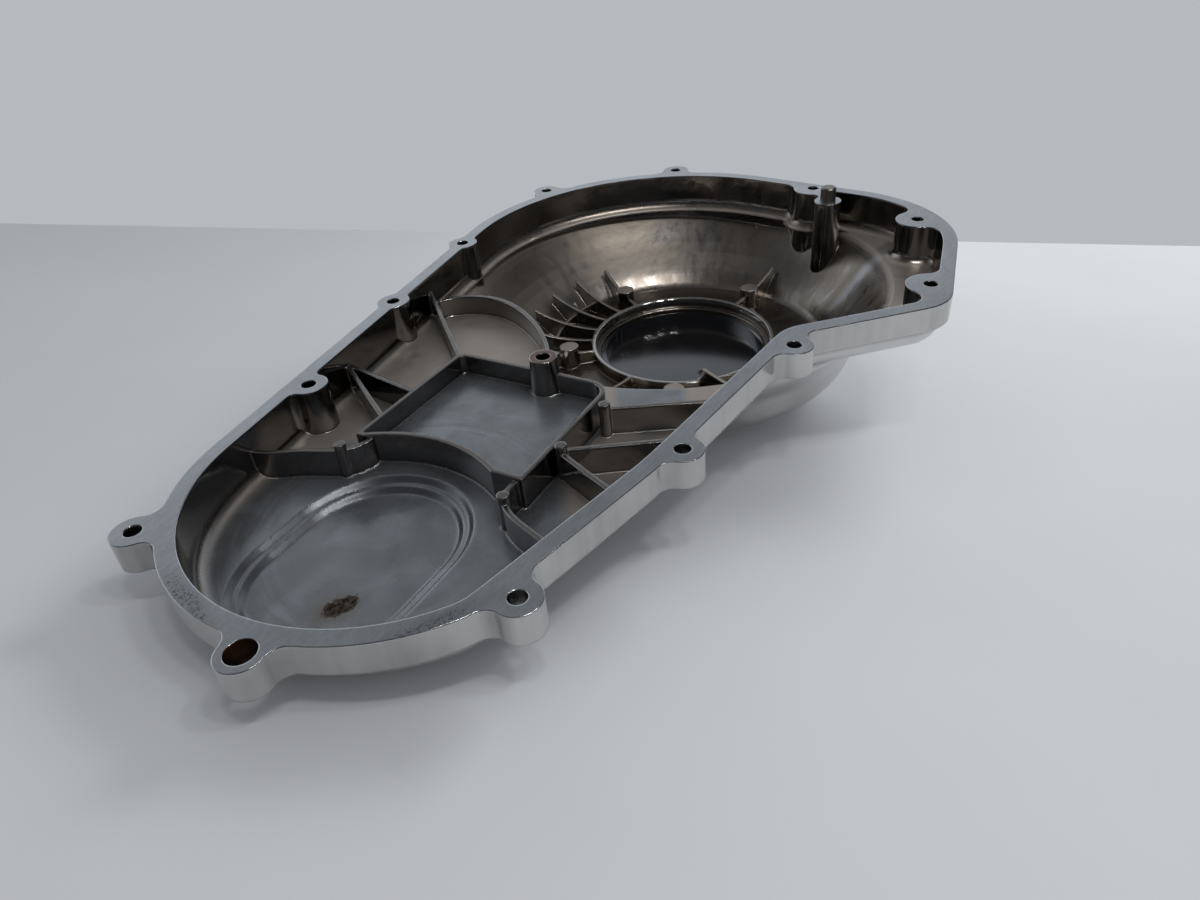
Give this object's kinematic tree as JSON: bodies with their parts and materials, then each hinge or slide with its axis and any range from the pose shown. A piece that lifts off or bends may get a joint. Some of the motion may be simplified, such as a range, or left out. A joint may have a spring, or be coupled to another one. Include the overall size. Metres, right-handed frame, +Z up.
{
  "type": "outer primary cover",
  "caption": "Dished die-cast chain-case cover with a flat joint face, screw ears, inner ribs and tray, a deep clutch bowl and a round screwed access cover.",
  "frame": {"origin": "centre of the bounding box, at the floor that the casting lies on", "axes": "+Z up as the casting lies on its outer face, +X from the small end towards the big end, +Y across, to the side of the long straight edge"},
  "size_m": [0.5216, 0.3234, 0.125],
  "materials": {
    "plated_casting": "die cast, chrome plated, machined satin joint face, dull and oil stained inside",
    "access_cover_plate": "polished and plated, dark mirror inside face",
    "seal_rubber": "black rubber ring",
    "screw_steel": "plated hexagon socket screws",
    "pin_steel": "dark oiled steel"
  },
  "bodies": {
    "root": {"primary_cover": "plated_casting", "clutch_access_cover": "access_cover_plate", "access_cover_seal": "seal_rubber", "access_cover_screw_1": "screw_steel", "access_cover_screw_2": "screw_steel", "access_cover_screw_3": "screw_steel", "access_cover_screw_4": "screw_steel", "access_cover_screw_5": "screw_steel", "locating_pin": "pin_steel"}
  },
  "joints": []
}
